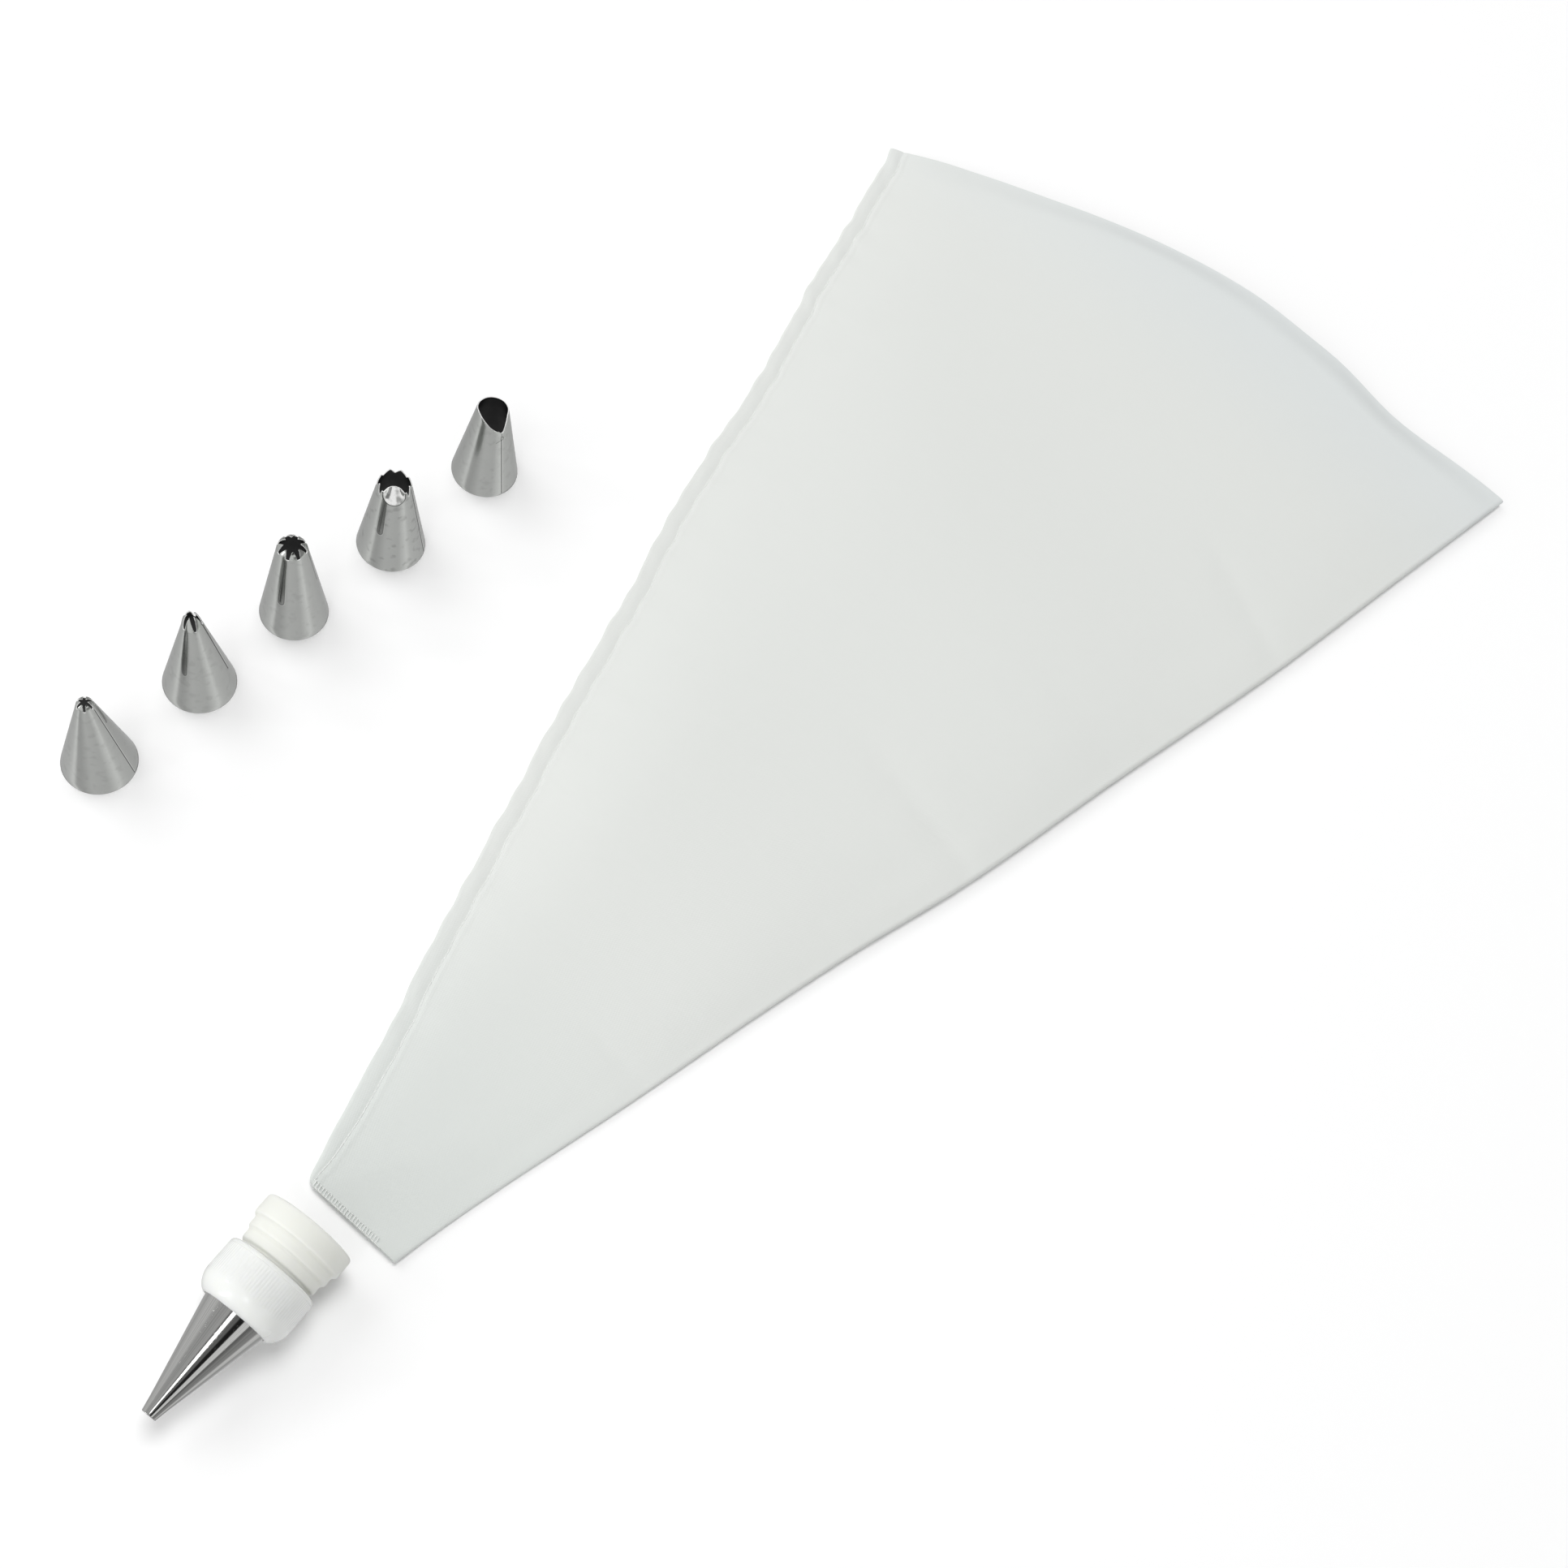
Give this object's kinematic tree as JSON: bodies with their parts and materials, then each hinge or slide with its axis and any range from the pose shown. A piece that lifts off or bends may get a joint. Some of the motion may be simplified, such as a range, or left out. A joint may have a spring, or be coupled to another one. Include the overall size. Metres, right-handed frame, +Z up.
{
  "type": "piping bag set",
  "caption": "Flat coated-cloth piping bag with a screw coupler holding a plain nozzle, and spare steel nozzles standing beside it.",
  "frame": {"origin": "on the table plane under the middle of the bag's centreline", "axes": "+Y along the bag's centreline from tip to mouth, +X from the side seam to the fold, +Z up from the table"},
  "size_m": [0.2452, 0.4541, 0.0334],
  "materials": {
    "cloth": "pale grey-white coated cotton, matt with a soft sheen",
    "thread": "white sewing thread",
    "base_plastic": "moulded white plastic, satin",
    "ring_plastic": "moulded white plastic, glossy dome",
    "polished_steel": "polished stainless steel",
    "satin_steel": "satin pressed steel with a welded seam"
  },
  "bodies": {
    "bag": {"rear_panel": "cloth", "front_panel": "cloth", "side_seam": "cloth", "side_seam_thread": "thread", "tip_hem": "cloth", "tip_hem_thread": "thread"},
    "coupler": {"coupler_base": "base_plastic"},
    "fitted_nozzle": {"plain_nozzle": "polished_steel"},
    "ring": {"coupler_ring": "ring_plastic"},
    "closed_star": {"closed_star_nozzle": "satin_steel"},
    "open_star": {"open_star_nozzle": "satin_steel"},
    "large_star": {"large_star_nozzle": "satin_steel"},
    "shell": {"shell_nozzle": "satin_steel"},
    "slanted": {"slanted_nozzle": "satin_steel"}
  },
  "joints": [
    {"name": "coupler_lift", "type": "slide", "parent": "bag", "child": "coupler", "axis": [0, 0, 1], "range_m": [0, 0.1]},
    {"name": "nozzle_slide", "type": "slide", "parent": "coupler", "child": "fitted_nozzle", "axis": [0.0419, -0.9991, 0], "range_m": [0, 0.0065]},
    {"name": "ring_turn", "type": "hinge", "parent": "fitted_nozzle", "child": "ring", "pos_m": [-0.004, -0.2072, 0.0116], "axis": [0.0419, -0.9991, 0], "range_deg": [0, 720]},
    {"name": "closed_star_lift", "type": "slide", "parent": "bag", "child": "closed_star", "axis": [0, 0, 1], "range_m": [0, 0.1]},
    {"name": "open_star_lift", "type": "slide", "parent": "bag", "child": "open_star", "axis": [0, 0, 1], "range_m": [0, 0.1]},
    {"name": "large_star_lift", "type": "slide", "parent": "bag", "child": "large_star", "axis": [0, 0, 1], "range_m": [0, 0.1]},
    {"name": "shell_lift", "type": "slide", "parent": "bag", "child": "shell", "axis": [0, 0, 1], "range_m": [0, 0.1]},
    {"name": "slanted_lift", "type": "slide", "parent": "bag", "child": "slanted", "axis": [0, 0, 1], "range_m": [0, 0.1]}
  ],
  "couplings": [
    {"joint": "nozzle_slide", "follows": "ring_turn", "m_per_rad": 0.00047746}
  ]
}
